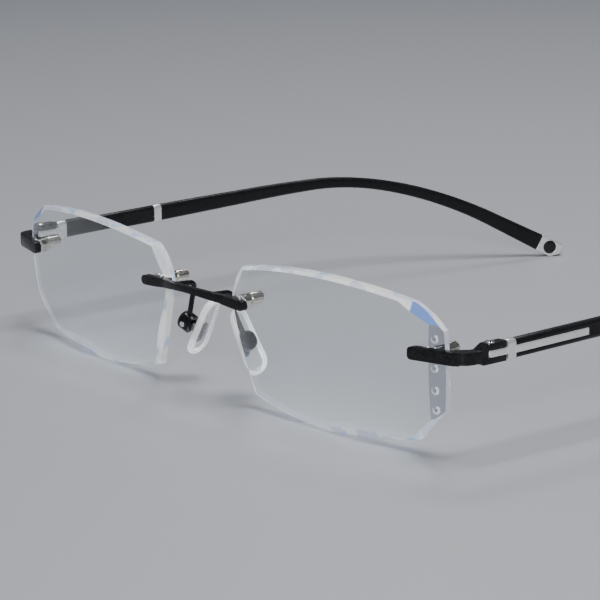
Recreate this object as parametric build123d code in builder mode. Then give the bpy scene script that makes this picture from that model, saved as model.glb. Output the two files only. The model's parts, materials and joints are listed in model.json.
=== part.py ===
from build123d import *
from math import asin, atan, cos, radians, sin, sqrt, tan
import os

# Rimless eyeglasses, resting on the lower lens edges and the temple tips, temples open.
# +X is the wearer's left, -Y is the front, +Z is up, z = 0 is the surface they rest on.
# Every piece is drawn for the wearer's left and mirrored for the right. Depths "behind the
# lenses" are measured in Y from the middle of the left lens's front face.

os.makedirs("parts", exist_ok=True)

# Lenses
lens_x = 38.5              # middle of a lens, from the nose line
lens_wrap = 5.1            # each lens turns back towards the temple, degrees
lens_tilt = 4.9            # the top leans forward, degrees
front_radius = 117.0       # curve of the front face
back_radius = 128.0        # curve of the back face
lens_thickness = 2.2       # at the middle
lens_corners = {           # (towards the temple, up) from the middle of the lens
    "top_nasal": (-24.4, 12.7),
    "top_temporal": (21.4, 13.2),
    "upper_temporal": (27.5, 8.4),
    "lower_temporal": (27.1, -6.9),
    "bottom_temporal": (21.3, -13.4),
    "bottom_nasal": (-22.5, -13.2),
    "nasal": (-28.3, 5.0),
}
edge_bulges = {            # how far each edge bows out of its chord
    "top_nasal": 2.45,
    "top_temporal": 0.4,
    "upper_temporal": 0.4,
    "lower_temporal": 0.1,
    "bottom_temporal": 2.45,
    "bottom_nasal": 0.5,
    "nasal": 0.85,
}
edge_break = 0.12          # small bevel along the back edges
cut_width = 0.6            # bevel along the front edges, across the face
cut_depth = 0.45           # and down the edge
lens_facets = {            # flats cut on the front: edge, turn of the cut, inset and depth
    "top_corner": ("top_temporal", 0.0, 1.35, 0.95),
    "temporal_corner": ("lower_temporal", 0.0, 1.0, 0.8),
    "bottom_leaf": ("bottom_temporal", 8.5, 1.3, 0.95),
    "nasal_side": ("bottom_nasal", 0.0, 1.15, 0.8),
    "nasal_corner": ("nasal", 0.0, 1.5, 1.0),
}

# Ground strip with stones, on the left lens only
strip_width = 2.7          # from the temporal edge inwards
strip_depth = 0.55         # ground away at the outer edge
stone_radius = 0.75
stone_height = 0.75
stone_seat = 0.4           # depth of a stone's seat
stone_inset = 1.55         # stone line to the lens edge
stone_heights = (7.6, 2.0, -2.3, -6.15)
seat_clearance = 0.02      # round a stone or a screw head in its seat

# Lens mounts: a post on the bar in front, a washer let into the bar's back, a sleeve in the
# lens, a hexagon nut and a cap nut
nasal_mount = (lens_x - 25.7, 21.45)     # x and z of the post
temporal_mount = (lens_x + 24.2, 20.0)
post_radius = 0.5
post_root = 0.8                  # post set into the bar
washer_radius = 1.3
washer_thickness = 0.35
sleeve_radius = 0.95
sleeve_stand = 0.36              # sleeve proud of the back face
nut_corner_radius = 1.2
nut_length = 2.0
cap_radius = 1.2
cap_length = 2.9
cap_wall = 0.7                   # closed end of the cap nut
cap_slot_width = 0.3
cap_slot_depth = 0.3
cap_slot_count = 6

# Bridge
bridge_half = lens_x - 22.1
bridge_arch_half = 9.0           # where the arch meets the end plates
bridge_bow = 1.35                # the arch stands forward of the end plates
bridge_thickness = 1.3
bridge_plate_front = -1.55       # front face of the end plates, in front of the lenses
bridge_end_height = 1.95
bridge_mid_height = 1.25
bridge_end_z = 21.2
bridge_mid_z = 22.0

# Nose pads
arm_radius = 0.55
arm_root = (6.0, 21.8)          # x and z where the arm leaves the bridge
arm_elbow = (5.9, 4.1, 21.5)     # x, depth and z of the bend
arm_bend_radius = 1.6
pad_center = (7.45, 7.65, 11.4)  # x, depth and z
pad_up = (-0.505, -0.046, 0.862) # the pad's long direction
pad_face = (-0.84, 0.258, -0.478)  # the pad faces the nose
pad_lower_radius = 3.05
pad_upper_radius = 2.5
pad_length = 14.2
pad_thickness = 1.6
pad_round = 0.65
core_plate = (5.0, 2.8, 0.5)     # metal core inside the pad: long, wide, thick
core_round = 1.3
stem_width = 1.3
stem_length = 1.5
eye_radius = 0.85
pad_pivot_depth = 3.4            # rocking axis behind the pad's middle
box_length = 4.0
box_width = 3.8
box_front = 2.1                  # box front behind the pad's middle
box_back = 5.0
box_shift = (-0.6, -1.2)         # box middle from the pad's middle, along and across
box_round = 1.8
pocket_length = 2.4
pocket_clearance = 0.12
pocket_room = 0.15               # behind the core's eye
arm_foot_inset = 0.3             # arm meets the box this far below its upper end
pad_screw_radius = 0.3
pad_screw_head = 0.6
pad_screw_head_height = 0.35
running_gap = 0.04               # radial, in the two kinds of hinge

# End pieces
end_nasal_x = lens_x + 21.2
end_front_y = 2.1                # front face at the nasal end
end_slope = 0.288                # the front bar follows the lens
end_round = 0.8                  # nasal end of the front bar, seen from the front
end_corner_round = 0.9           # the corner is cut off by this much
end_corner_depth = 2.4           # back of the corner, behind the fold
end_fold_x = lens_x + 30.5
end_bar_z = (18.7, 21.2)
end_arm_z = (18.95, 21.3)
end_arm_start = 8.2              # depth where the arm runs straight back
end_lens_gap = 0.35              # bar to the lens edge
arm_inner_corner = (1.2, 1.6)    # inside of the arm at the fold, inwards and backwards
arm_inner_start = 0.6            # the inside runs straight back this much later
arm_overlap = 0.5                # arm set into the hinge block

# Hinges
hinge_x = lens_x + 32.05
hinge_depth = 12.6
block_half = 1.08                # half the thickness of the hinge block
block_front = 9.6
block_back = 15.9
block_z = (18.45, 22.25)
block_ramp = (1.6, 0.9)          # top front edge runs down to the side arm: length, height
block_low_ramp = 0.45
tongue_height = 1.3
tongue_gap = 0.08                # above and below the tongue
tongue_room = 0.25               # in front of it, at the slot's end
tongue_eye = 1.0                 # radius round the hinge screw
tongue_center_z = 20.27
screw_radius = 0.5
screw_head_radius = 1.0
screw_head_height = 0.8
screw_head_proud = 0.25
screw_slot = 0.28
screw_slot_turn = -35.0
screw_recess = 0.2               # the screw's foot inside the lower knuckle

# Temples: straight runs joined by one bend inwards and one bend down
cap_front = 16.3
ring_length = 2.0
ring_proud = 0.12
front_section_end = 42.1
tip_start = 145.35               # depth where the tip begins
temple_start_x = hinge_x + 0.05   # at the temple's front
temple_start_z = 20.25
plan_slope = 0.012
plan_end_slope = -0.54
plan_corner = tip_start - 43.45   # depth where the straight runs would meet
plan_radius = 105.0
side_slope = 0.021
side_end_slope = -0.585
side_radius = 85.0
temple_sections = {              # part of the way from the ring to the tip: (thickness, height)
    0.0: (2.0, 3.75),
    0.16: (2.0, 3.5),
    0.31: (2.0, 3.1),
    0.45: (2.0, 2.7),
    0.59: (2.0, 2.5),
    0.72: (2.05, 2.75),
    0.85: (2.1, 3.15),
    1.0: (2.2, 4.0),
}
temple_round = 0.75
tenon = (0.9, 2.0)               # joining tongues inside the temple
tenon_length = 3.0
bar_height = 1.4
bar_depth = 0.5
bar_proud = 0.2
bar_end = front_section_end - 4.9
tip_length = 6.3
tip_proud = 0.1
tip_round = 0.4
tip_bevel = 0.4
tip_cut = (2.4, 2.0)             # the lower end corner is cut off: length, height
dot_radius = 1.6
dot_seat = 0.3
dot_proud = 0.12
dot_from_start = 2.95
dot_rise = 0.15                  # above the middle of the tip

# Directions of a temple tip: along it, across its thickness and across its height
tip_size = [size + 2 * tip_proud for size in temple_sections[1.0]]
tip_along = Vector(plan_end_slope, 1, side_end_slope).normalized()
tip_side = Vector(1, -plan_end_slope, 0).normalized()
tip_up = tip_side.cross(tip_along)
tip_end = tip_start + tip_length * tip_along.Y

# The lower edge of the tip rests at z = 0, which sets where the temple bends down
tip_rest_z = tip_size[1] / 2 * tip_up.Z + tip_cut[0] * tip_along.Z
side_rise = tip_rest_z - temple_start_z + cap_front * side_slope - tip_end * side_end_slope
side_corner = side_rise / (side_slope - side_end_slope)

# The origin is under the middle of the whole length
bridge_reach = bridge_bow - bridge_plate_front
tip_overhang = (tip_size[0] / 2 - tip_bevel) * tip_side.Y + (tip_size[1] / 2 - tip_bevel) * tip_up.Y
lens_y = (bridge_reach - tip_end - tip_overhang) / 2


def at_depth(depth):
    """Y of a depth behind the middle of the lens's front face."""
    return lens_y + depth


def save(piece, name):
    piece.part.label = name
    export_step(piece.part, f"parts/{name}.step")


def save_pair(piece, name):
    """The piece as drawn for the wearer's left, and its mirror image for the right."""
    save(piece, f"{name}_left")
    with BuildPart() as other:
        mirror(piece.part, about=Plane.YZ)
    save(other, f"{name}_right")


# Lens geometry
wrap = radians(lens_wrap)
tilt = radians(lens_tilt)
across = Vector(cos(wrap), sin(wrap), 0)
outward = Vector(sin(wrap), -cos(wrap), 0)
normal = outward * cos(tilt) - Vector(0, 0, sin(tilt))

bottom_edge_v = (lens_corners["bottom_temporal"][1] + lens_corners["bottom_nasal"][1]) / 2
lowest_v = bottom_edge_v - edge_bulges["bottom_temporal"]
lowest_sag = front_radius - sqrt(front_radius**2 - lowest_v**2)
lens_z = -lowest_v * cos(tilt) - lowest_sag * sin(tilt)

lens_plane = Plane(origin=(lens_x, lens_y, lens_z), x_dir=across, z_dir=normal)
front_center = lens_plane.origin - normal * front_radius
back_center = lens_plane.origin - normal * (lens_thickness + back_radius)


def ball_y(center, radius, x, z):
    """Y of the front of a sphere over the point x, z."""
    return center.Y - sqrt(radius**2 - (x - center.X) ** 2 - (z - center.Z) ** 2)


def lens_front_y(x, z):
    return ball_y(front_center, front_radius, x, z)


def lens_back_y(x, z):
    return ball_y(back_center, back_radius, x, z)


def front_sag(u, v=0.0):
    """How far the front face lies behind the lens plane, at u, v in that plane."""
    return front_radius - sqrt(front_radius**2 - u**2 - v**2)


def backwards(x, z, y):
    """A plane at x, z facing backwards, for what runs along a lens mount."""
    return Plane(origin=(x, y, z), x_dir=(1, 0, 0), z_dir=(0, 1, 0))


mounts = {"nasal": nasal_mount, "temporal": temporal_mount}
blank_depth = 20.0       # longer than any lens is deep
corner_names = list(lens_corners)


def facet_plane(edge, turn, inset, depth):
    """Plane of a flat cut on the lens front, facing outwards, along one edge of the outline."""
    start = Vector(*lens_corners[edge], 0)
    end = Vector(*lens_corners[corner_names[(corner_names.index(edge) + 1) % len(corner_names)]], 0)
    chord = end - start
    bulge = edge_bulges[edge]
    edge_radius = (chord.length**2 / 4 + bulge**2) / (2 * bulge)
    chord_out = chord.normalized().cross(Vector(0, 0, -1))
    arc_center = (start + end) / 2 - chord_out * (edge_radius - bulge)
    cut_out = chord_out.rotate(Axis.Z, turn)
    foot = arc_center + cut_out * (edge_radius - inset)
    on_front = lens_plane.from_local_coords((foot.X, foot.Y, -front_sag(foot.X, foot.Y)))
    out = across * cut_out.X + lens_plane.y_dir * cut_out.Y
    return Plane(origin=on_front, z_dir=out * depth + normal * inset)

# Stone places in the lens plane: in line with the temporal edge
edge_top = lens_corners["upper_temporal"]
edge_foot = lens_corners["lower_temporal"]
lean = atan((edge_top[0] - edge_foot[0]) / (edge_top[1] - edge_foot[1]))
strip_across = across * cos(lean) - lens_plane.y_dir * sin(lean)
strip_edge = edge_top[0] * cos(lean) - edge_top[1] * sin(lean)
strip_inner = strip_edge - strip_width
strip_slope = (front_sag(strip_edge) + strip_depth - front_sag(strip_inner)) / strip_width
strip_normal = (normal + strip_across * strip_slope).normalized()
strip_plane = Plane(origin=lens_plane.origin, x_dir=strip_across, z_dir=normal)


def stone_plane(v):
    """Plane on the ground strip at height v, facing out of it."""
    u = strip_edge - stone_inset
    depth = front_sag(strip_inner, v) + (u - strip_inner) * strip_slope
    return Plane(
        origin=strip_plane.from_local_coords((u, v, -depth)),
        x_dir=strip_plane.y_dir,
        z_dir=strip_normal,
    )


def lens(with_strip):
    """One lens: its outline, cut out of the shell between the two curved faces."""
    with BuildPart() as blank:
        with BuildSketch(lens_plane):
            with BuildLine():
                for name, following in zip(corner_names, corner_names[1:] + corner_names[:1]):
                    SagittaArc(lens_corners[name], lens_corners[following], edge_bulges[name])
            make_face()
        extrude(amount=blank_depth, both=True)
        with Locations(front_center):
            Sphere(front_radius, mode=Mode.INTERSECT)
        with Locations(back_center):
            Sphere(back_radius, mode=Mode.SUBTRACT)
        front_face = blank.faces().sort_by(SortBy.AREA)[-2:].sort_by(Axis.Y)[0]
        chamfer(front_face.edges(), cut_width, cut_depth, reference=front_face)
        back_face = blank.faces().sort_by(SortBy.AREA)[-2:].sort_by(Axis.Y)[-1]
        chamfer(back_face.edges(), edge_break)
        for facet in lens_facets.values():
            split(bisect_by=facet_plane(*facet), keep=Keep.BOTTOM)
        for x, z in mounts.values():
            with BuildSketch(backwards(x, z, lens_y - blank_depth)):
                Circle(sleeve_radius)
            extrude(amount=2 * blank_depth, mode=Mode.SUBTRACT)
        if with_strip:
            inner_sag = front_sag(strip_inner)
            reach = 2 * strip_width
            with BuildSketch(Plane(lens_plane.origin, x_dir=strip_across, z_dir=-strip_plane.y_dir)):
                with BuildLine():
                    Polyline(
                        (strip_inner, -inner_sag),
                        (strip_inner + reach, -inner_sag - reach * strip_slope),
                        (strip_inner + reach, reach),
                        (strip_inner, reach),
                        close=True,
                    )
                make_face()
            revolve(axis=Axis(front_center, strip_across), mode=Mode.SUBTRACT)
            for v in stone_heights:
                with BuildSketch(stone_plane(v).offset(-stone_seat)):
                    Circle(stone_radius + seat_clearance)
                extrude(amount=2 * stone_height, mode=Mode.SUBTRACT)
    return blank


lens_left = lens(with_strip=True)
save(lens_left, "lens_left")

plain_lens = lens(with_strip=False)
with BuildPart() as lens_right:
    mirror(plain_lens.part, about=Plane.YZ)
save(lens_right, "lens_right")

# Stones, numbered from the top
for number, v in enumerate(stone_heights, start=1):
    seat = stone_plane(v).offset(-stone_seat)
    with BuildPart() as stone:
        with BuildSketch(seat):
            Circle(stone_radius)
        extrude(amount=stone_height)
        crown_edge = stone.faces().filter_by(GeomType.PLANE).sort_by(Axis(seat.origin, seat.z_dir))[-1]
        chamfer(crown_edge.edges(), stone_height / 3)
    save(stone, f"rhinestone_{number}")

# Washers of the lens mounts, following the lens's front face
washers = {}
for place, (x, z) in mounts.items():
    with BuildPart() as washer:
        with BuildSketch(backwards(x, z, lens_front_y(x, z) - washer_radius)):
            Circle(washer_radius)
            Circle(post_radius, mode=Mode.SUBTRACT)
        extrude(amount=2 * washer_radius)
        with Locations(front_center):
            Sphere(front_radius + washer_thickness, mode=Mode.INTERSECT)
            Sphere(front_radius, mode=Mode.SUBTRACT)
    save_pair(washer, f"{place}_washer")
    washers[place] = washer.part

# Bridge
plate_front_y = at_depth(bridge_plate_front)
arch_front_y = plate_front_y - bridge_bow
with BuildPart() as bridge:
    with BuildSketch(Plane.XY.offset(bridge_mid_z)):
        with BuildLine():
            front_mid = (0, arch_front_y)
            front_join = (bridge_arch_half, plate_front_y)
            back_mid = (0, arch_front_y + bridge_thickness)
            back_join = (bridge_arch_half, plate_front_y + bridge_thickness)
            deep = at_depth(2 * lens_thickness)
            TangentArc(front_mid, front_join, tangent=(1, 0))
            Polyline(front_join, (bridge_half, plate_front_y), (bridge_half, deep), (bridge_arch_half, deep))
            Line((bridge_arch_half, deep), back_join)
            TangentArc(back_mid, back_join, tangent=(1, 0))
            Line(back_mid, front_mid)
        make_face()
    extrude(amount=bridge_end_height * 2, both=True)
    with BuildSketch(Plane.XZ):
        with BuildLine():
            plate_round = bridge_end_height / 2
            top_join = (bridge_half - plate_round, bridge_end_z + plate_round)
            low_join = (bridge_half - plate_round, bridge_end_z - plate_round)
            mid_top = (0, bridge_mid_z + bridge_mid_height / 2)
            mid_low = (0, bridge_mid_z - bridge_mid_height / 2)
            ThreePointArc(top_join, (bridge_half, bridge_end_z), low_join)
            Spline(mid_top, top_join, tangents=((1, 0), (1, 0)))
            Spline(mid_low, low_join, tangents=((1, 0), (1, 0)))
            Line(mid_low, mid_top)
        make_face()
    extrude(amount=blank_depth - lens_y, both=True, mode=Mode.INTERSECT)
    with Locations(front_center):
        Sphere(front_radius, mode=Mode.SUBTRACT)
    with BuildSketch(backwards(nasal_mount[0], nasal_mount[1], lens_front_y(*nasal_mount) - post_root)):
        Circle(post_radius)
    extrude(amount=2 * post_root, mode=Mode.SUBTRACT)
    add(washers["nasal"], mode=Mode.SUBTRACT)
    mirror(about=Plane.YZ)
save(bridge, "bridge")

# End piece: front bar, corner, side arm and the two outer hinge knuckles
tongue_slot = tongue_height / 2 + tongue_gap
slot_front = at_depth(hinge_depth - tongue_eye - tongue_room)
screw_top_seat = block_z[1] + screw_head_proud - screw_head_height
hinge_point = (hinge_x, at_depth(hinge_depth))
outer_x = hinge_x + block_half
inner_x = hinge_x - block_half
fold_y = at_depth(end_front_y + (end_fold_x - end_nasal_x) * end_slope)
edge_x = lens_plane.from_local_coords((edge_top[0], 0, -front_sag(edge_top[0]))).X
arm_start_y = at_depth(end_arm_start)

with BuildPart() as end_piece:
    with BuildSketch(Plane.XY.offset(end_bar_z[0])):
        with BuildLine():
            Polyline(
                (end_nasal_x, at_depth(end_front_y)),
                (end_fold_x, fold_y),
                (end_fold_x + end_corner_round, fold_y + end_corner_round),
                (end_fold_x - end_corner_round, fold_y + end_corner_depth),
                (edge_x + end_lens_gap, fold_y + end_corner_depth),
                (end_nasal_x, at_depth(end_front_y + 2 * lens_thickness)),
                close=True,
            )
        make_face()
    extrude(amount=end_bar_z[1] - end_bar_z[0])
    with Locations(front_center):
        Sphere(front_radius, mode=Mode.SUBTRACT)
    fillet(end_piece.edges().filter_by(Axis.Y).group_by(Axis.X)[0], end_round)
    with BuildSketch(Plane.XY.offset(end_arm_z[0])):
        with BuildLine():
            outer_start = (end_fold_x, fold_y)
            outer_end = (outer_x, arm_start_y)
            TangentArc(outer_end, outer_start, tangent=(0, -1))
            Polyline(
                outer_start,
                (end_fold_x - arm_inner_corner[0], fold_y + arm_inner_corner[1]),
                (inner_x, arm_start_y + arm_inner_start),
                (inner_x, at_depth(block_front + arm_overlap)),
                (outer_x, at_depth(block_front + arm_overlap)),
                outer_end,
            )
        make_face()
    extrude(amount=end_arm_z[1] - end_arm_z[0])
    with BuildSketch(Plane.XY.offset(block_z[0])):
        with BuildLine():
            Polyline(
                (inner_x, at_depth(block_front)),
                (outer_x, at_depth(block_front)),
                (outer_x, at_depth(block_back)),
                (inner_x, at_depth(block_back)),
                close=True,
            )
        make_face()
    extrude(amount=block_z[1] - block_z[0])
    block_nose = end_piece.edges().filter_by(Axis.X).filter_by(
        lambda edge: abs(edge.center().Y - at_depth(block_front)) < seat_clearance
    )
    block_top = end_piece.faces().sort_by(Axis.Z)[-1]
    ramp_length, ramp_height = block_ramp
    chamfer(block_nose.group_by(Axis.Z)[-1], ramp_length, ramp_height, reference=block_top)
    chamfer(block_nose.group_by(Axis.Z)[0], block_low_ramp)
    # Slot for the temple's tongue, open behind and on both sides
    with BuildSketch(Plane.XY.offset(tongue_center_z - tongue_slot)):
        with BuildLine():
            Polyline(
                (inner_x - block_half, slot_front),
                (outer_x + block_half, slot_front),
                (outer_x + block_half, at_depth(block_back + block_half)),
                (inner_x - block_half, at_depth(block_back + block_half)),
                close=True,
            )
        make_face()
    extrude(amount=2 * tongue_slot, mode=Mode.SUBTRACT)
    # Hole and head recess of the hinge screw
    with BuildSketch(Plane.XY.offset(block_z[0])):
        with Locations(hinge_point):
            Circle(screw_radius)
    extrude(amount=block_z[1] - block_z[0], mode=Mode.SUBTRACT)
    with BuildSketch(Plane.XY.offset(screw_top_seat)):
        with Locations(hinge_point):
            Circle(screw_head_radius + seat_clearance)
    extrude(amount=screw_head_height, mode=Mode.SUBTRACT)
    # Socket of the lens mount's post
    with BuildSketch(backwards(*temporal_mount, lens_front_y(*temporal_mount) - post_root)):
        Circle(post_radius)
    extrude(amount=2 * post_root, mode=Mode.SUBTRACT)
    add(washers["temporal"], mode=Mode.SUBTRACT)
save_pair(end_piece, "end_piece")

# Hinge screw
with BuildPart() as hinge_screw:
    with BuildSketch(Plane.XY.offset(block_z[0] + screw_recess)):
        with Locations(hinge_point):
            Circle(screw_radius)
    extrude(amount=screw_top_seat - block_z[0] - screw_recess)
    with BuildSketch(Plane.XY.offset(screw_top_seat)):
        with Locations(hinge_point):
            Circle(screw_head_radius)
    extrude(amount=screw_head_height)
    rim = hinge_screw.faces().sort_by(Axis.Z)[-1].edges()
    chamfer(rim, screw_head_proud / 2)
    with BuildSketch(Plane.XY.offset(screw_top_seat + screw_head_height)):
        with Locations(hinge_point):
            Rectangle(2 * screw_head_radius, screw_slot, rotation=screw_slot_turn)
    extrude(amount=-screw_head_height / 2, mode=Mode.SUBTRACT)
save_pair(hinge_screw, "hinge_screw")

# Lens mounts
for place, (x, z) in mounts.items():
    front_y = lens_front_y(x, z)
    nut_y = lens_back_y(x, z) + sleeve_stand
    cap_y = nut_y + nut_length
    post_end = cap_y + cap_length - cap_wall

    with BuildPart() as post:
        with BuildSketch(backwards(x, z, front_y - post_root)):
            Circle(post_radius)
        extrude(amount=post_end - front_y + post_root)
    save_pair(post, f"{place}_post")

    with BuildPart() as sleeve:
        with BuildSketch(backwards(x, z, front_y - post_root)):
            Circle(sleeve_radius)
            Circle(post_radius, mode=Mode.SUBTRACT)
        extrude(amount=nut_y - front_y + post_root)
        with Locations(front_center):
            Sphere(front_radius, mode=Mode.INTERSECT)
    save_pair(sleeve, f"{place}_sleeve")

    with BuildPart() as nut:
        with BuildSketch(backwards(x, z, nut_y)):
            RegularPolygon(nut_corner_radius, 6)
            Circle(post_radius, mode=Mode.SUBTRACT)
        extrude(amount=nut_length)
    save_pair(nut, f"{place}_nut")

    with BuildPart() as cap_nut:
        with BuildSketch(backwards(x, z, cap_y)):
            Circle(cap_radius)
        extrude(amount=cap_length)
        end_edge = cap_nut.faces().sort_by(Axis.Y)[-1].edges()
        fillet(end_edge, cap_wall / 2)
        with BuildSketch(backwards(x, z, cap_y)):
            Circle(post_radius)
        extrude(amount=post_end - cap_y, mode=Mode.SUBTRACT)
        with BuildSketch(backwards(x, z, cap_y + cap_slot_depth)):
            with PolarLocations(cap_radius, cap_slot_count):
                Rectangle(2 * cap_slot_depth, cap_slot_width)
        extrude(amount=cap_length, mode=Mode.SUBTRACT)
    save_pair(cap_nut, f"{place}_cap_nut")

# Nose pads: clear pad, its metal core, the box that holds it, and the screw
pad_plane = Plane(
    origin=(pad_center[0], at_depth(pad_center[1]), pad_center[2]),
    x_dir=pad_up,
    z_dir=pad_face,
)
box_plane = Plane(
    origin=pad_plane.from_local_coords((*box_shift, 0)),
    x_dir=pad_plane.x_dir,
    z_dir=pad_plane.z_dir,
)
# Looking along the rocking axis: local x is the pad's long direction, y is out towards the nose
pivot_plane = Plane(
    origin=box_plane.from_local_coords((0, 0, -pad_pivot_depth)),
    x_dir=box_plane.x_dir,
    z_dir=-box_plane.y_dir,
)
pocket_width = stem_width + 2 * pocket_clearance
pocket_depth = pad_pivot_depth + eye_radius + pocket_room

with BuildPart() as pad_core:
    with BuildSketch(box_plane.offset(-core_plate[2] / 2)):
        RectangleRounded(core_plate[0], core_plate[1], core_round)
    extrude(amount=core_plate[2])
    with BuildSketch(pivot_plane.offset(-stem_width / 2)):
        Circle(eye_radius)
        with Locations((0, pad_pivot_depth / 2)):
            Rectangle(stem_length, pad_pivot_depth)
    extrude(amount=stem_width)
    with BuildSketch(pivot_plane.offset(-stem_width)):
        Circle(pad_screw_radius + running_gap)
    extrude(amount=2 * stem_width, mode=Mode.SUBTRACT)
save_pair(pad_core, "pad_core")

with BuildPart() as nose_pad:
    with BuildSketch(pad_plane.offset(-pad_thickness / 2)):
        with Locations((pad_lower_radius - pad_length / 2, 0)):
            Circle(pad_lower_radius)
        with Locations((pad_length / 2 - pad_upper_radius, 0)):
            Circle(pad_upper_radius)
        make_hull()
    extrude(amount=pad_thickness)
    rims = nose_pad.faces().sort_by(Axis(pad_plane.origin, pad_plane.z_dir))
    fillet(rims[-1].edges() + rims[0].edges(), pad_round)
    add(pad_core.part, mode=Mode.SUBTRACT)
save_pair(nose_pad, "nose_pad")

with BuildPart() as pad_box:
    with BuildSketch(box_plane.offset(-box_back)):
        RectangleRounded(box_length, box_width, box_round)
    extrude(amount=box_back - box_front)
    back_face = pad_box.faces().sort_by(Axis(box_plane.origin, box_plane.z_dir))[0]
    fillet(back_face.edges(), box_round / 2)
    with BuildSketch(box_plane.offset(-pocket_depth)):
        Rectangle(pocket_length, pocket_width)
    extrude(amount=pocket_depth, mode=Mode.SUBTRACT)
    with BuildSketch(pivot_plane.offset(-box_width)):
        Circle(pad_screw_radius)
    extrude(amount=2 * box_width, mode=Mode.SUBTRACT)
    with BuildSketch(pivot_plane.offset(box_width / 2 - pad_screw_head_height)):
        Circle(pad_screw_head + seat_clearance)
    extrude(amount=box_width, mode=Mode.SUBTRACT)
save_pair(pad_box, "pad_box")

with BuildPart() as pad_screw:
    with BuildSketch(pivot_plane.offset(-box_width / 2)):
        Circle(pad_screw_radius)
    extrude(amount=box_width - pad_screw_head_height)
    with BuildSketch(pivot_plane.offset(box_width / 2 - pad_screw_head_height)):
        Circle(pad_screw_head)
    extrude(amount=pad_screw_head_height)
save_pair(pad_screw, "pad_screw")

arm_top = (arm_root[0], plate_front_y + bridge_thickness / 2, arm_root[1])
arm_corner = (arm_elbow[0], at_depth(arm_elbow[1]), arm_elbow[2])
arm_foot_place = (box_length / 2 - arm_foot_inset, 0, -(box_front + box_back) / 2)
arm_foot = tuple(box_plane.from_local_coords(arm_foot_place))
with BuildPart() as pad_arm:
    with BuildLine() as arm_path:
        FilletPolyline(arm_top, arm_corner, arm_foot, radius=arm_bend_radius)
    with BuildSketch(Plane(origin=arm_top, z_dir=Vector(*arm_corner) - Vector(*arm_top))):
        Circle(arm_radius)
    sweep()
    add(bridge.part, mode=Mode.SUBTRACT)
    add(pad_box.part, mode=Mode.SUBTRACT)
save_pair(pad_arm, "pad_arm")

# Temples


def bent(depth, corner, start_slope, end_slope, radius):
    """Offset from the corner of two straight runs joined by a tangent arc, and its slope."""
    start_angle, end_angle = atan(start_slope), atan(end_slope)
    half_turn = abs(end_angle - start_angle) / 2
    reach = radius * tan(half_turn)
    arc_start = corner - reach * cos(start_angle)
    arc_end = corner + reach * cos(end_angle)
    if depth <= arc_start:
        return (depth - corner) * start_slope, start_slope
    if depth >= arc_end:
        return (depth - corner) * end_slope, end_slope
    sine = sin(start_angle) - (depth - arc_start) / radius
    angle = asin(sine)
    drop = radius * (cos(angle) - cos(start_angle))
    return (arc_start - corner) * start_slope + drop, tan(angle)


corner_x = temple_start_x + (plan_corner - cap_front) * plan_slope
corner_z = temple_start_z + (side_corner - cap_front) * side_slope


def temple_plane(depth):
    """Section plane of the temple: x outwards, y down, z backwards along the temple."""
    x, x_slope = bent(depth, plan_corner, plan_slope, plan_end_slope, plan_radius)
    z, z_slope = bent(depth, side_corner, side_slope, side_end_slope, side_radius)
    return Plane(
        origin=(corner_x + x, at_depth(depth), corner_z + z),
        x_dir=(1, -x_slope, 0),
        z_dir=(x_slope, 1, z_slope),
    )


front_plane = temple_plane(cap_front)
along = front_plane.z_dir
depth_to_length = 1 / along.Y
section = temple_sections[0.0]
ring_size = (section[0] + 2 * ring_proud, section[1] + 2 * ring_proud)


def run(start, end):
    """Length along the straight front of the temple between two depths."""
    return (end - start) * depth_to_length


# Silver cap with the middle hinge knuckle
with BuildPart() as temple_cap:
    with BuildSketch(front_plane):
        RectangleRounded(*ring_size, temple_round)
    extrude(amount=ring_length)
    with BuildSketch(Plane.XY.offset(tongue_center_z - tongue_height / 2)):
        with Locations(hinge_point):
            Circle(tongue_eye)
        with BuildLine():
            Polyline(
                (hinge_x - tongue_eye, hinge_point[1]),
                (hinge_x + tongue_eye, hinge_point[1]),
                (hinge_x + tongue_eye, at_depth(cap_front + ring_length / 2)),
                (hinge_x - tongue_eye, at_depth(cap_front + ring_length / 2)),
                close=True,
            )
        make_face()
    extrude(amount=tongue_height)
    with BuildSketch(Plane.XY.offset(block_z[0])):
        with Locations(hinge_point):
            Circle(screw_radius + running_gap)
    extrude(amount=block_z[1] - block_z[0], mode=Mode.SUBTRACT)
    with BuildSketch(front_plane.offset(ring_length)):
        Rectangle(*tenon)
    extrude(amount=tenon_length)
save_pair(temple_cap, "temple_cap")

# Black front section with the inlaid bar
section_start = front_plane.offset(ring_length)
front_length = run(cap_front, front_section_end) - ring_length
bar_length = run(cap_front, bar_end) - ring_length
bar_middle = (section[0] + bar_proud - bar_depth) / 2
with BuildPart() as temple_bar:
    with BuildSketch(section_start):
        with Locations((bar_middle, 0)):
            Rectangle(bar_depth + bar_proud, bar_height)
    extrude(amount=bar_length)
save_pair(temple_bar, "temple_bar")

ring_plane = section_start.offset(front_length)
rear_start = front_section_end + ring_length
with BuildPart() as temple_front:
    with BuildSketch(section_start):
        RectangleRounded(*section, temple_round)
    extrude(amount=front_length)
    with BuildSketch(section_start):
        Rectangle(*tenon)
    extrude(amount=tenon_length, mode=Mode.SUBTRACT)
    with BuildSketch(ring_plane):
        Rectangle(*tenon)
    extrude(amount=-tenon_length, mode=Mode.SUBTRACT)
    add(temple_bar.part, mode=Mode.SUBTRACT)
save_pair(temple_front, "temple_front")

ring_span = run(front_section_end, rear_start)
with BuildPart() as temple_ring:
    with BuildSketch(ring_plane):
        RectangleRounded(*ring_size, temple_round)
        Rectangle(*tenon, mode=Mode.SUBTRACT)
    extrude(amount=ring_span)
save_pair(temple_ring, "temple_ring")

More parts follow.
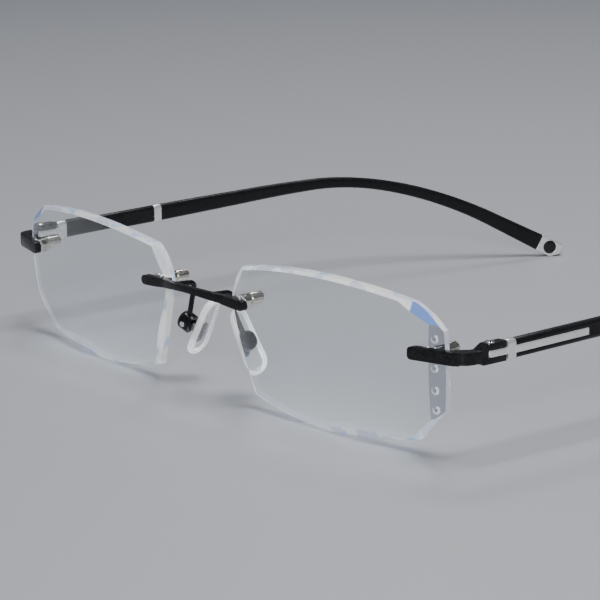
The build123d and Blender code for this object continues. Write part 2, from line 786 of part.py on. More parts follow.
# Black rear section, bent inwards and down behind the ear
with BuildPart() as temple_end:
    for part_way, (thickness, height) in temple_sections.items():
        with BuildSketch(temple_plane(rear_start + part_way * (tip_start - rear_start))):
            RectangleRounded(thickness, height, temple_round)
    loft()
    with BuildSketch(ring_plane.offset(-tenon_length)):
        Rectangle(*tenon)
    extrude(amount=tenon_length + ring_span)
save_pair(temple_end, "temple_end")

# Silver tip with the dot on its inner face
tip_plane = temple_plane(tip_start)
dot_plane = Plane(
    origin=tip_plane.from_local_coords((-tip_size[0] / 2 + dot_seat, -dot_rise, dot_from_start)),
    x_dir=tip_plane.z_dir,
    z_dir=-tip_plane.x_dir,
)
tip_cut_plane = Plane(
    origin=tip_plane.from_local_coords((0, tip_size[1] / 2, tip_length - tip_cut[0])),
    z_dir=tip_plane.z_dir * tip_cut[1] + tip_plane.y_dir * tip_cut[0],
)
with BuildPart() as temple_tip:
    with BuildSketch(tip_plane):
        RectangleRounded(*tip_size, tip_round)
    extrude(amount=tip_length)
    end_face = temple_tip.faces().sort_by(Axis(tip_plane.origin, tip_plane.z_dir))[-1]
    chamfer(end_face.edges(), tip_bevel)
    split(bisect_by=tip_cut_plane, keep=Keep.BOTTOM)
    with BuildSketch(dot_plane):
        Circle(dot_radius)
    extrude(amount=2 * dot_seat, mode=Mode.SUBTRACT)
save_pair(temple_tip, "temple_tip")

with BuildPart() as tip_dot:
    with BuildSketch(dot_plane):
        Circle(dot_radius)
    extrude(amount=dot_seat + dot_proud)
save_pair(tip_dot, "tip_dot")
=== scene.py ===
# Rimless eyeglasses standing open on a pale table: clear lenses with cut edges, black lacquered
# metal, black temples with silver inlays, small crystals on the left lens.
import json
import math

import bmesh
import bpy
from mathutils import Matrix, Vector

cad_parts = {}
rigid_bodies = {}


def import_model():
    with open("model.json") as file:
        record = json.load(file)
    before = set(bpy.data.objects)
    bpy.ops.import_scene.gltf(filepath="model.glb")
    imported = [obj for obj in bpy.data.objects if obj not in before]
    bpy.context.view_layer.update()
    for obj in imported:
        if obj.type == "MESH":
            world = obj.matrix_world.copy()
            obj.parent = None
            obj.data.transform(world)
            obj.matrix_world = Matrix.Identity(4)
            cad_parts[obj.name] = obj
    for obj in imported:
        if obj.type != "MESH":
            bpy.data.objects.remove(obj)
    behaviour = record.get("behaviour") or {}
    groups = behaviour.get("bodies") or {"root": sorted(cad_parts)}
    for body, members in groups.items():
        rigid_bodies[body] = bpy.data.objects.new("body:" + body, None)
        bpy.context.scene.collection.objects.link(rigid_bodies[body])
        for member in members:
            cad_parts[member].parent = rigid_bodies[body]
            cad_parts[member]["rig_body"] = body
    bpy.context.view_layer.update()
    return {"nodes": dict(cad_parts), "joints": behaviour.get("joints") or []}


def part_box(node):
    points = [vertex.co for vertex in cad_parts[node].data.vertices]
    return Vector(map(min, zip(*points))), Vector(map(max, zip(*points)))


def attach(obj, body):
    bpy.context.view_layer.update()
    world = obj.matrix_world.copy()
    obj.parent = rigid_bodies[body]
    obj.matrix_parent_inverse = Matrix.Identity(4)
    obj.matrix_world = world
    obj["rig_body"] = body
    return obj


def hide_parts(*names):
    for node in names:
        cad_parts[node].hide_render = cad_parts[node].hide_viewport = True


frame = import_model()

mm = 0.001
scene = bpy.context.scene
joints = {joint["name"]: joint for joint in frame["joints"]}
hingePlace = Vector(joints["temple_left_fold"]["pos_m"])
hingeDepth = 12.6                        # hinges behind the lenses' middle, millimetres
lensY = hingePlace.y - hingeDepth * mm
reliefDepth = 0.01 * mm                  # how deep the finest surface texture goes
mergeReach = 0.002 * mm                  # closer points of a copied CAD mesh become one
sides = {"left": 1, "right": -1}
print("frame loaded:", len(frame["nodes"]), "pieces of CAD")


# small helpers for meshes

def place(x, depth, z):                  # millimetres; depth is measured backwards from the lenses
    return Vector((x * mm, lensY + depth * mm, z * mm))


def mirrored(v, side):
    return Vector((v.x * sides[side], v.y, v.z))


def addObject(name, mesh):
    obj = bpy.data.objects.new(name, mesh)
    scene.collection.objects.link(obj)
    return obj


def plainMesh(obj):                      # what the modifiers make, as a mesh of its own
    bpy.context.view_layer.update()
    view = bpy.context.evaluated_depsgraph_get()
    return bpy.data.meshes.new_from_object(obj.evaluated_get(view))


def faceOutwards(mesh):
    bm = bmesh.new()
    bm.from_mesh(mesh)
    bmesh.ops.recalc_face_normals(bm, faces=bm.faces)
    bm.to_mesh(mesh)
    bm.free()


def markEdges(mesh, fullAngle=35.0):     # "edge": 0 where the surface is flat, 1 where it turns
    bm = bmesh.new()
    bm.from_mesh(mesh)
    values = []
    for v in bm.verts:
        turns = [e.calc_face_angle(0.0) for e in v.link_edges]
        values.append(min(1.0, max(turns, default=0.0) / math.radians(fullAngle)))
    bm.free()
    layer = mesh.attributes.new("edge", "FLOAT", "POINT")
    layer.data.foreach_set("value", values)


def smoothUpTo(mesh, angle):
    mesh.shade_smooth()
    mesh.set_sharp_from_angle(angle=math.radians(angle))


def softened(node, material, width, segments=3, angle=28.0, sharp=40.0):
    # the CAD shape with its edges rounded, and flat faces made whole again
    mesh = frame["nodes"][node].data.copy()
    mesh.materials.clear()
    bm = bmesh.new()
    bm.from_mesh(mesh)
    bmesh.ops.remove_doubles(bm, verts=bm.verts, dist=mergeReach)
    bmesh.ops.dissolve_limit(bm, angle_limit=math.radians(0.5), verts=bm.verts, edges=bm.edges)
    bm.to_mesh(mesh)
    bm.free()
    rough = addObject(f"{node}_rough", mesh)
    rounding = rough.modifiers.new("Rounding", "BEVEL")
    rounding.limit_method = "ANGLE"
    rounding.angle_limit = math.radians(angle)
    rounding.width = width * mm
    rounding.segments = segments
    rounding.miter_outer = "MITER_ARC"
    finished = plainMesh(rough)
    bpy.data.objects.remove(rough)
    smoothUpTo(finished, sharp)
    markEdges(finished)
    finished.materials.append(material)
    piece = addObject(f"{node}_piece", finished)
    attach(piece, frame["nodes"][node]["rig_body"])
    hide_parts(node)
    return piece


# node helpers

def addNode(tree, kind, x=0, y=0, **settings):
    node = tree.nodes.new(kind)
    node.location = (x, y)
    for name, value in settings.items():
        setattr(node, name, value)
    return node


def newGroup(name, kind, inputs, outputs):
    tree = bpy.data.node_groups.new(name, kind)
    for label, socketType, value in inputs:
        socket = tree.interface.new_socket(label, in_out="INPUT", socket_type=socketType)
        if value is not None:
            socket.default_value = value
    for label, socketType in outputs:
        tree.interface.new_socket(label, in_out="OUTPUT", socket_type=socketType)
    return tree, addNode(tree, "NodeGroupInput", -900), addNode(tree, "NodeGroupOutput", 700)


# shared surface effects

def makeFineGrain():
    # fine moulding or polishing texture; Stretch draws it out along one direction
    tree, start, end = newGroup(
        "fineGrain", "ShaderNodeTree",
        [("Scale", "NodeSocketFloat", 2500.0), ("Stretch", "NodeSocketVector", (1, 1, 1))],
        [("Height", "NodeSocketFloat"), ("Mask", "NodeSocketFloat")])
    coords = addNode(tree, "ShaderNodeTexCoord", -900, 250)
    mapping = addNode(tree, "ShaderNodeMapping", -650, 100)
    noise = addNode(tree, "ShaderNodeTexNoise", -400, 100)
    noise.inputs["Detail"].default_value = 4.0
    noise.inputs["Roughness"].default_value = 0.6
    mask = addNode(tree, "ShaderNodeMapRange", 0, -100)
    mask.inputs["From Min"].default_value = 0.35
    mask.inputs["From Max"].default_value = 0.7
    link = tree.links.new
    link(coords.outputs["Object"], mapping.inputs["Vector"])
    link(start.outputs["Stretch"], mapping.inputs["Scale"])
    link(mapping.outputs["Vector"], noise.inputs["Vector"])
    link(start.outputs["Scale"], noise.inputs["Scale"])
    link(noise.outputs["Fac"], mask.inputs["Value"])
    link(noise.outputs["Fac"], end.inputs["Height"])
    link(mask.outputs["Result"], end.inputs["Mask"])
    return tree


def makeTouchMarks():
    # faint wide marks of handling, as a roughness between two values
    tree, start, end = newGroup(
        "touchMarks", "ShaderNodeTree",
        [("Scale", "NodeSocketFloat", 120.0), ("Polished", "NodeSocketFloat", 0.1),
         ("Dulled", "NodeSocketFloat", 0.3)],
        [("Roughness", "NodeSocketFloat"), ("Mask", "NodeSocketFloat")])
    coords = addNode(tree, "ShaderNodeTexCoord", -900, 250)
    wide = addNode(tree, "ShaderNodeTexNoise", -600, 200)
    wide.inputs["Detail"].default_value = 3.0
    wide.inputs["Distortion"].default_value = 0.8
    spread = addNode(tree, "ShaderNodeMapRange", -350, 200, interpolation_type="SMOOTHSTEP")
    spread.inputs["From Min"].default_value = 0.42
    spread.inputs["From Max"].default_value = 0.72
    level = addNode(tree, "ShaderNodeMapRange", 100, 100)
    link = tree.links.new
    link(coords.outputs["Object"], wide.inputs["Vector"])
    link(start.outputs["Scale"], wide.inputs["Scale"])
    link(wide.outputs["Fac"], spread.inputs["Value"])
    link(spread.outputs["Result"], level.inputs["Value"])
    link(start.outputs["Polished"], level.inputs["To Min"])
    link(start.outputs["Dulled"], level.inputs["To Max"])
    link(level.outputs["Result"], end.inputs["Roughness"])
    link(spread.outputs["Result"], end.inputs["Mask"])
    return tree


def makeEdgeWear():
    # the colour turns to Worn along the edges, broken up by a fine pattern
    tree, start, end = newGroup(
        "edgeWear", "ShaderNodeTree",
        [("Color", "NodeSocketColor", (0.5, 0.5, 0.5, 1)), ("Worn", "NodeSocketColor", (0.8, 0.8, 0.8, 1)),
         ("Amount", "NodeSocketFloat", 0.3), ("Scale", "NodeSocketFloat", 900.0)],
        [("Color", "NodeSocketColor"), ("Mask", "NodeSocketFloat")])
    coords = addNode(tree, "ShaderNodeTexCoord", -900, 300)
    edge = addNode(tree, "ShaderNodeAttribute", -900, 500, attribute_name="edge")
    noise = addNode(tree, "ShaderNodeTexNoise", -600, 300)
    noise.inputs["Detail"].default_value = 5.0
    breakUp = addNode(tree, "ShaderNodeMapRange", -350, 300)
    breakUp.inputs["From Min"].default_value = 0.4
    breakUp.inputs["From Max"].default_value = 0.65
    both = addNode(tree, "ShaderNodeMath", -100, 350, operation="MULTIPLY")
    strength = addNode(tree, "ShaderNodeMath", 100, 350, operation="MULTIPLY")
    mix = addNode(tree, "ShaderNodeMix", 350, 100, data_type="RGBA")
    link = tree.links.new
    link(coords.outputs["Object"], noise.inputs["Vector"])
    link(start.outputs["Scale"], noise.inputs["Scale"])
    link(noise.outputs["Fac"], breakUp.inputs["Value"])
    link(edge.outputs["Fac"], both.inputs[0])
    link(breakUp.outputs["Result"], both.inputs[1])
    link(both.outputs["Value"], strength.inputs[0])
    link(start.outputs["Amount"], strength.inputs[1])
    link(strength.outputs["Value"], mix.inputs["Factor"])
    link(start.outputs["Color"], mix.inputs["A"])
    link(start.outputs["Worn"], mix.inputs["B"])
    link(mix.outputs["Result"], end.inputs["Color"])
    link(strength.outputs["Value"], end.inputs["Mask"])
    return tree


fineGrain = makeFineGrain()
touchMarks = makeTouchMarks()
edgeWear = makeEdgeWear()


def startMaterial(name):
    material = bpy.data.materials.new(name)
    material.use_nodes = True
    tree = material.node_tree
    shader = tree.nodes["Principled BSDF"]
    return material, tree, shader


def addGroup(tree, group, x, y, **values):
    node = addNode(tree, "ShaderNodeGroup", x, y, node_tree=group)
    for label, value in values.items():
        node.inputs[label].default_value = value
    return node


def solidFinish(name, look):
    # metals, lacquer and plastic: colour with worn edges, roughness with marks, fine relief
    material, tree, shader = startMaterial(name)
    wear = addGroup(tree, edgeWear, -600, 300, Color=look["color"], Worn=look["worn"],
                    Amount=look["wear"], Scale=look["wearScale"])
    marks = addGroup(tree, touchMarks, -600, 0, Scale=look["markScale"],
                     Polished=look["polished"], Dulled=look["dulled"])
    grain = addGroup(tree, fineGrain, -600, -300, Scale=look["grainScale"], Stretch=look["grainStretch"])
    bump = addNode(tree, "ShaderNodeBump", -300, -300)
    bump.inputs["Strength"].default_value = look["relief"]
    bump.inputs["Distance"].default_value = reliefDepth
    link = tree.links.new
    link(wear.outputs["Color"], shader.inputs["Base Color"])
    link(marks.outputs["Roughness"], shader.inputs["Roughness"])
    link(grain.outputs["Height"], bump.inputs["Height"])
    link(bump.outputs["Normal"], shader.inputs["Normal"])
    shader.inputs["Metallic"].default_value = look["metallic"]
    shader.inputs["Coat Weight"].default_value = look["coat"]
    shader.inputs["Coat Roughness"].default_value = 0.06
    shader.inputs["Specular IOR Level"].default_value = look["specular"]
    return material


finishes = {
    "blackLacquer": {
        "color": (0.006, 0.006, 0.007, 1), "worn": (0.05, 0.05, 0.052, 1), "wear": 0.5, "wearScale": 1500.0,
        "markScale": 260.0, "polished": 0.2, "dulled": 0.34, "grainScale": 3500.0,
        "grainStretch": (1, 1, 1), "relief": 0.25, "metallic": 0.0, "coat": 0.08, "specular": 0.18},
    "blackTemple": {
        "color": (0.008, 0.008, 0.009, 1), "worn": (0.03, 0.03, 0.032, 1), "wear": 0.4, "wearScale": 900.0,
        "markScale": 130.0, "polished": 0.24, "dulled": 0.38, "grainScale": 1800.0,
        "grainStretch": (1, 0.12, 1), "relief": 0.3, "metallic": 0.0, "coat": 0.06, "specular": 0.2},
    "silverPlate": {
        "color": (0.93, 0.93, 0.92, 1), "worn": (0.95, 0.95, 0.94, 1), "wear": 0.8, "wearScale": 700.0,
        "markScale": 300.0, "polished": 0.2, "dulled": 0.34, "grainScale": 3000.0,
        "grainStretch": (1, 0.06, 1), "relief": 0.12, "metallic": 0.7, "coat": 0.0, "specular": 0.5},
    "paleGold": {
        "color": (0.80, 0.76, 0.66, 1), "worn": (0.93, 0.90, 0.82, 1), "wear": 0.7, "wearScale": 1200.0,
        "markScale": 700.0, "polished": 0.12, "dulled": 0.26, "grainScale": 4000.0,
        "grainStretch": (1, 1, 1), "relief": 0.2, "metallic": 1.0, "coat": 0.0, "specular": 0.5},
    "turnedSteel": {
        "color": (0.70, 0.70, 0.71, 1), "worn": (0.9, 0.9, 0.9, 1), "wear": 0.6, "wearScale": 1500.0,
        "markScale": 900.0, "polished": 0.18, "dulled": 0.32, "grainScale": 5000.0,
        "grainStretch": (0.2, 1, 1), "relief": 0.3, "metallic": 1.0, "coat": 0.0, "specular": 0.5},
    "darkSteel": {
        "color": (0.3, 0.3, 0.31, 1), "worn": (0.5, 0.5, 0.5, 1), "wear": 0.5, "wearScale": 1500.0,
        "markScale": 900.0, "polished": 0.25, "dulled": 0.4, "grainScale": 5000.0,
        "grainStretch": (0.2, 1, 1), "relief": 0.3, "metallic": 1.0, "coat": 0.0, "specular": 0.5},
    "glossBlack": {
        "color": (0.004, 0.004, 0.004, 1), "worn": (0.02, 0.02, 0.02, 1), "wear": 0.3, "wearScale": 900.0,
        "markScale": 500.0, "polished": 0.12, "dulled": 0.24, "grainScale": 2600.0,
        "grainStretch": (1, 1, 1), "relief": 0.4, "metallic": 0.0, "coat": 0.2, "specular": 0.4},
}
solid = {name: solidFinish(name, look) for name, look in finishes.items()}


def clearFinish(name, look):
    # clear materials: light passes straight through for shadows, so they stay pale; their emission is a
    # painted glow
    material, tree, shader = startMaterial(name)
    link = tree.links.new
    marks = addGroup(tree, touchMarks, -700, 0, Scale=look["markScale"],
                     Polished=look["polished"], Dulled=look["dulled"])
    grain = addGroup(tree, fineGrain, -700, -300, Scale=look["grainScale"])
    cut = addNode(tree, "ShaderNodeAttribute", -900, 300, attribute_name="cut")
    rough = addNode(tree, "ShaderNodeMix", -300, 0, data_type="FLOAT")
    rough.inputs["B"].default_value = look["cutRoughness"]
    tint = addNode(tree, "ShaderNodeMix", -300, 300, data_type="RGBA")
    tint.inputs["A"].default_value = look["color"]
    tint.inputs["B"].default_value = look["cutColor"]
    bump = addNode(tree, "ShaderNodeBump", -300, -300)
    bump.inputs["Strength"].default_value = look["relief"]
    bump.inputs["Distance"].default_value = reliefDepth
    link(cut.outputs["Fac"], rough.inputs["Factor"])
    link(marks.outputs["Roughness"], rough.inputs["A"])
    link(rough.outputs["Result"], shader.inputs["Roughness"])
    link(cut.outputs["Fac"], tint.inputs["Factor"])
    link(tint.outputs["Result"], shader.inputs["Base Color"])
    link(grain.outputs["Height"], bump.inputs["Height"])
    link(bump.outputs["Normal"], shader.inputs["Normal"])
    shader.inputs["Transmission Weight"].default_value = look["transmission"]
    shader.inputs["IOR"].default_value = look["ior"]
    # painted glow: the material shines in its own colour though no lamp lights it
    shader.inputs["Emission Color"].default_value = look["color"]
    shader.inputs["Emission Strength"].default_value = look["paintedGlow"]
    through = addNode(tree, "ShaderNodeBsdfTransparent", 200, -200)
    through.inputs["Color"].default_value = look["shadow"]
    rays = addNode(tree, "ShaderNodeLightPath", 0, 300)
    mix = addNode(tree, "ShaderNodeMixShader", 450, 100)
    output = tree.nodes["Material Output"]
    output.location = (700, 100)
    link(rays.outputs["Is Shadow Ray"], mix.inputs["Fac"])
    link(shader.outputs["BSDF"], mix.inputs[1])
    link(through.outputs["BSDF"], mix.inputs[2])
    link(mix.outputs["Shader"], output.inputs["Surface"])
    return material


clearLooks = {
    "lensGlass": {
        "color": (0.965, 0.985, 1.0, 1), "cutColor": (0.93, 0.96, 1.0, 1), "cutRoughness": 0.22,
        "markScale": 60.0, "polished": 0.0, "dulled": 0.004, "grainScale": 1500.0, "relief": 0.0,
        "transmission": 1.0, "ior": 1.5, "shadow": (0.86, 0.88, 0.9, 1), "paintedGlow": 0.0},
    # the ground strip: glass tinted dark grey-blue, a painted shade that makes the strip darker than the lens
    "groundGlassPaintedShade": {
        "color": (0.33, 0.36, 0.44, 1), "cutColor": (0.33, 0.36, 0.44, 1), "cutRoughness": 0.12,
        "markScale": 300.0, "polished": 0.02, "dulled": 0.06, "grainScale": 1500.0, "relief": 0.0,
        "transmission": 1.0, "ior": 1.5, "shadow": (0.6, 0.63, 0.68, 1), "paintedGlow": 0.0},
    # the pads' thick rim: painted light, white with a painted glow
    "padRimPaintedLight": {
        "color": (1.0, 1.0, 1.0, 1), "cutColor": (1.0, 1.0, 1.0, 1), "cutRoughness": 0.3,
        "markScale": 350.0, "polished": 0.1, "dulled": 0.2, "grainScale": 2500.0, "relief": 0.2,
        "transmission": 0.35, "ior": 1.41, "shadow": (0.7, 0.72, 0.75, 1), "paintedGlow": 0.25},
    "clearNylon": {
        "color": (0.93, 0.95, 0.97, 1), "cutColor": (1, 1, 1, 1), "cutRoughness": 0.2,
        "markScale": 900.0, "polished": 0.12, "dulled": 0.28, "grainScale": 4000.0, "relief": 0.3,
        "transmission": 0.9, "ior": 1.5, "shadow": (0.7, 0.72, 0.74, 1), "paintedGlow": 0.05},
    "clearSilicone": {
        "color": (0.95, 0.97, 0.98, 1), "cutColor": (0.98, 0.99, 1.0, 1), "cutRoughness": 0.45,
        "markScale": 350.0, "polished": 0.08, "dulled": 0.2, "grainScale": 2500.0, "relief": 0.25,
        "transmission": 0.92, "ior": 1.41, "shadow": (0.75, 0.77, 0.8, 1), "paintedGlow": 0.0},
    # the stones: clear crystal that is white and glows, a painted glint
    "crystal": {
        "color": (1.0, 1.0, 1.0, 1), "cutColor": (1, 1, 1, 1), "cutRoughness": 0.0,
        "markScale": 900.0, "polished": 0.0, "dulled": 0.05, "grainScale": 4000.0, "relief": 0.0,
        "transmission": 0.3, "ior": 1.75, "shadow": (0.5, 0.5, 0.52, 1), "paintedGlow": 0.3},
}
clear = {name: clearFinish(name, look) for name, look in clearLooks.items()}

# colours of the painted reflections on the cut edges: white, blue and violet patches, which also glow as a
# painted glow
cutLook = {"white": (1.0, 1.0, 1.0, 1), "blue": (0.5, 0.68, 1.0, 1), "violet": (0.72, 0.76, 0.9, 1),
           "blueFacetReflection": (0.16, 0.28, 0.72, 1), "patchScale": 420.0, "patchStretch": (0.6, 1.0, 0.35),
           "roughness": (0.05, 0.2), "transmission": 0.4, "paintedGlow": 0.3}


def makeCutPaintedReflections():
    # painted reflections: long slanting patches of white, blue and violet, painted on as a polished edge
    # throws light about
    tree, start, end = newGroup(
        "cutPaintedReflections", "ShaderNodeTree",
        [("Scale", "NodeSocketFloat", 200.0), ("Stretch", "NodeSocketVector", (1, 1, 1)),
         ("White", "NodeSocketColor", (1, 1, 1, 1)), ("Blue", "NodeSocketColor", (0.4, 0.6, 1, 1)),
         ("Violet", "NodeSocketColor", (0.5, 0.5, 0.7, 1))],
        [("Color", "NodeSocketColor"), ("Mask", "NodeSocketFloat")])
    coords = addNode(tree, "ShaderNodeTexCoord", -900, 250)
    mapping = addNode(tree, "ShaderNodeMapping", -700, 250)
    cells = addNode(tree, "ShaderNodeTexVoronoi", -480, 300)
    soft = addNode(tree, "ShaderNodeTexNoise", -480, 0)
    soft.inputs["Detail"].default_value = 3.0
    blueReflectionMask = addNode(tree, "ShaderNodeMapRange", -100, 0)
    blueReflectionMask.inputs["From Min"].default_value = 0.5
    blueReflectionMask.inputs["From Max"].default_value = 0.62
    violetReflectionMask = addNode(tree, "ShaderNodeMapRange", -100, 300)
    violetReflectionMask.inputs["From Min"].default_value = 0.62
    violetReflectionMask.inputs["From Max"].default_value = 0.7
    parts = addNode(tree, "ShaderNodeSeparateColor", -300, 350)
    first = addNode(tree, "ShaderNodeMix", 150, 200, data_type="RGBA")
    second = addNode(tree, "ShaderNodeMix", 400, 100, data_type="RGBA")
    link = tree.links.new
    link(coords.outputs["Object"], mapping.inputs["Vector"])
    link(start.outputs["Stretch"], mapping.inputs["Scale"])
    link(mapping.outputs["Vector"], cells.inputs["Vector"])
    link(mapping.outputs["Vector"], soft.inputs["Vector"])
    link(start.outputs["Scale"], cells.inputs["Scale"])
    link(start.outputs["Scale"], soft.inputs["Scale"])
    link(cells.outputs["Color"], parts.inputs["Color"])
    link(parts.outputs["Red"], violetReflectionMask.inputs["Value"])
    link(soft.outputs["Fac"], blueReflectionMask.inputs["Value"])
    link(blueReflectionMask.outputs["Result"], first.inputs["Factor"])
    link(start.outputs["White"], first.inputs["A"])
    link(start.outputs["Blue"], first.inputs["B"])
    link(violetReflectionMask.outputs["Result"], second.inputs["Factor"])
    link(first.outputs["Result"], second.inputs["A"])
    link(start.outputs["Violet"], second.inputs["B"])
    link(second.outputs["Result"], end.inputs["Color"])
    link(violetReflectionMask.outputs["Result"], end.inputs["Mask"])
    return tree


def cutFinish():
    material, tree, shader = startMaterial("cutEdgeWithPaintedLight")
    paintedReflections = addGroup(tree, makeCutPaintedReflections(), -500, 200, Scale=cutLook["patchScale"],
                       Stretch=cutLook["patchStretch"], White=cutLook["white"],
                       Blue=cutLook["blue"], Violet=cutLook["violet"])
    marks = addGroup(tree, touchMarks, -500, -100, Scale=500.0,
                     Polished=cutLook["roughness"][0], Dulled=cutLook["roughness"][1])
    # the top-corner flat is tinted blue: a painted blue reflection, glowing with the rest of the cut edge
    blueFacetReflection = addNode(tree, "ShaderNodeAttribute", -500, 500, attribute_name="blueFacetReflection")
    tint = addNode(tree, "ShaderNodeMix", -200, 300, data_type="RGBA")
    tint.inputs["B"].default_value = cutLook["blueFacetReflection"]
    tree.links.new(blueFacetReflection.outputs["Fac"], tint.inputs["Factor"])
    tree.links.new(paintedReflections.outputs["Color"], tint.inputs["A"])
    tree.links.new(tint.outputs["Result"], shader.inputs["Base Color"])
    # the painted reflections also feed the emission: a painted glow on the cut edges
    tree.links.new(tint.outputs["Result"], shader.inputs["Emission Color"])
    shader.inputs["Emission Strength"].default_value = cutLook["paintedGlow"]
    tree.links.new(marks.outputs["Roughness"], shader.inputs["Roughness"])
    shader.inputs["Transmission Weight"].default_value = cutLook["transmission"]
    shader.inputs["IOR"].default_value = 1.5
    return material


cutEdgeWithPaintedLight = cutFinish()
print("finishes made:", len(solid) + len(clear))


# lenses: exact curvature on both faces, cut edges marked

lensShape = {
    "x": 38.5, "wrap": 5.1, "tilt": 4.9, "frontRadius": 117.0, "backRadius": 128.0, "thickness": 2.2,
    "lowestV": -15.75,                   # lowest point of the outline, from the lens's middle
    "mounts": ((12.8, 21.45), (62.7, 20.0)),
    "smooth": 8.0,                       # degrees between faces that still shade as one
    "facingFace": 0.93, "ballReach": 0.03,     # a face of the sphere: how it faces, how near it lies
    "facingBevel": 0.85, "bevelMark": 0.6,     # front bevels are cut less dull than the walls
    "facingStrip": 0.88,                 # the ground strip faces forward more than any bevel
    "holeReach": 1.1,
    "leafFrom": (21.0, 8.0), "facingLeaf": (0.4, 0.88),    # the flat at the top corner, which gets a painted blue reflection
}


def lensFrame(side):
    wrap, tilt = math.radians(lensShape["wrap"]), math.radians(lensShape["tilt"])
    normal = Vector((math.sin(wrap) * math.cos(tilt), -math.cos(wrap) * math.cos(tilt), -math.sin(tilt)))
    across = Vector((math.cos(wrap), math.sin(wrap), 0))
    sag = lensShape["frontRadius"] - math.sqrt(lensShape["frontRadius"] ** 2 - lensShape["lowestV"] ** 2)
    z = -lensShape["lowestV"] * math.cos(tilt) - sag * math.sin(tilt)
    middle = place(lensShape["x"], 0, z)
    return mirrored(middle, side), mirrored(normal, side), mirrored(across, side)


def makeLens(side):
    node = f"lens_{side}"
    middle, normal, across = lensFrame(side)
    frontRadius, backRadius = lensShape["frontRadius"] * mm, lensShape["backRadius"] * mm
    frontCenter = middle - normal * frontRadius
    backCenter = middle - normal * (lensShape["thickness"] * mm + backRadius)
    mesh = frame["nodes"][node].data.copy()
    mesh.materials.clear()
    bm = bmesh.new()
    bm.from_mesh(mesh)
    bmesh.ops.remove_doubles(bm, verts=bm.verts, dist=mergeReach)
    bm.to_mesh(mesh)
    bm.free()
    smoothUpTo(mesh, lensShape["smooth"])
    cut = mesh.attributes.new("cut", "FLOAT", "FACE")
    corners = [n.vector.copy() for n in mesh.corner_normals]
    marks = []
    for face in mesh.polygons:
        facing = face.normal.dot(normal)
        ball, sign, radius = (frontCenter, 1, frontRadius) if facing > 0 else (backCenter, -1, backRadius)
        offBall = abs((face.center - ball).length - radius)
        onBall = abs(facing) > lensShape["facingFace"] and offBall < lensShape["ballReach"] * mm
        if onBall:
            for loop in face.loop_indices:
                vertex = mesh.vertices[mesh.loops[loop].vertex_index].co
                corners[loop] = (vertex - ball).normalized() * sign
        cutMark = lensShape["bevelMark"] if facing > lensShape["facingBevel"] else 1.0
        marks.append(0.0 if onBall else cutMark)
    cut.data.foreach_set("value", marks)
    mesh.normals_split_custom_set(corners)
    mesh.materials.append(clear["lensGlass"])
    mesh.materials.append(cutEdgeWithPaintedLight)
    mesh.materials.append(clear["groundGlassPaintedShade"])
    holes = [mirrored(place(x, 0, z), side) for x, z in lensShape["mounts"]]
    blueFacetReflections = []
    leafRight, leafUp = lensShape["leafFrom"]
    leafLow, leafHigh = lensShape["facingLeaf"]
    for face, mark in zip(mesh.polygons, marks):
        inHole = any(math.hypot(face.center.x - hole.x, face.center.z - hole.z) < lensShape["holeReach"] * mm
                     for hole in holes)
        facing = face.normal.dot(normal)
        # faces of the ground strip take the glass with painted shade
        ground = side == "left" and facing > lensShape["facingStrip"]
        if mark > 0 and not inHole:
            face.material_index = 2 if ground else 1
        # faces of the top-corner flat are marked for the painted blue reflection
        spot = face.center - middle
        topCorner = spot.dot(across) > leafRight * mm and spot.z > leafUp * mm
        blueFacetReflections.append(1.0 if topCorner and leafLow < facing < leafHigh else 0.0)
    mesh.attributes.new("blueFacetReflection", "FLOAT", "FACE").data.foreach_set("value", blueFacetReflections)
    lens = addObject(f"{node}_piece", mesh)
    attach(lens, "front")
    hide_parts(node)
    return lens


for side in sides:
    makeLens(side)
print("lenses made")


# crystals on the left lens

crystals = {"radius": 0.74, "crown": 0.34, "girdle": 0.1, "culet": -0.38, "table": 0.42,
            "star": 0.8, "starRise": 0.68, "girdleDepth": 0.06, "seat": 0.4, "facets": 8, "seed": 4}


def makeGem():
    # crown of kites and triangles, thin girdle, pointed back; the table and the back are painted dark, a
    # painted dark reflection
    count, radius = crystals["facets"], crystals["radius"] * mm
    step = 2 * math.pi / count
    bm = bmesh.new()

    def ring(size, z, turn, number):
        return [bm.verts.new((size * math.cos(turn + i * 2 * math.pi / number),
                              size * math.sin(turn + i * 2 * math.pi / number), z * mm))
                for i in range(number)]

    table = ring(radius * crystals["table"], crystals["crown"], 0, count)
    star = ring(radius * crystals["star"], crystals["crown"] * crystals["starRise"], step / 2, count)
    upper = ring(radius, crystals["girdle"], 0, 2 * count)
    lower = ring(radius, crystals["girdle"] - crystals["girdleDepth"], 0, 2 * count)
    culet = bm.verts.new((0, 0, crystals["culet"] * mm))
    paintedDark = [bm.faces.new(table)]
    for i in range(count):
        after = (i + 1) % count
        bm.faces.new((table[i], star[i], table[after]))
        kite = (table[after], star[i], upper[(2 * i + 2) % (2 * count)], star[after])
        bm.faces.new(kite)
        bm.faces.new((star[i], upper[2 * i], upper[2 * i + 1]))
        bm.faces.new((star[i], upper[2 * i + 1], upper[(2 * i + 2) % (2 * count)]))
    for i in range(2 * count):
        after = (i + 1) % (2 * count)
        bm.faces.new((upper[i], lower[i], lower[after], upper[after]))
        paintedDark.append(bm.faces.new((lower[i], culet, lower[after])))
    bmesh.ops.recalc_face_normals(bm, faces=bm.faces)
    bm.faces.index_update()
    paintedDarkFaces = {face.index for face in paintedDark}
    mesh = bpy.data.meshes.new("gemCut")
    bm.to_mesh(mesh)
    bm.free()
    layer = mesh.attributes.new("paintedDark", "BOOLEAN", "FACE")
    layer.data.foreach_set("value", [index in paintedDarkFaces for index in range(len(mesh.polygons))])
    return addObject("gemCut", mesh)


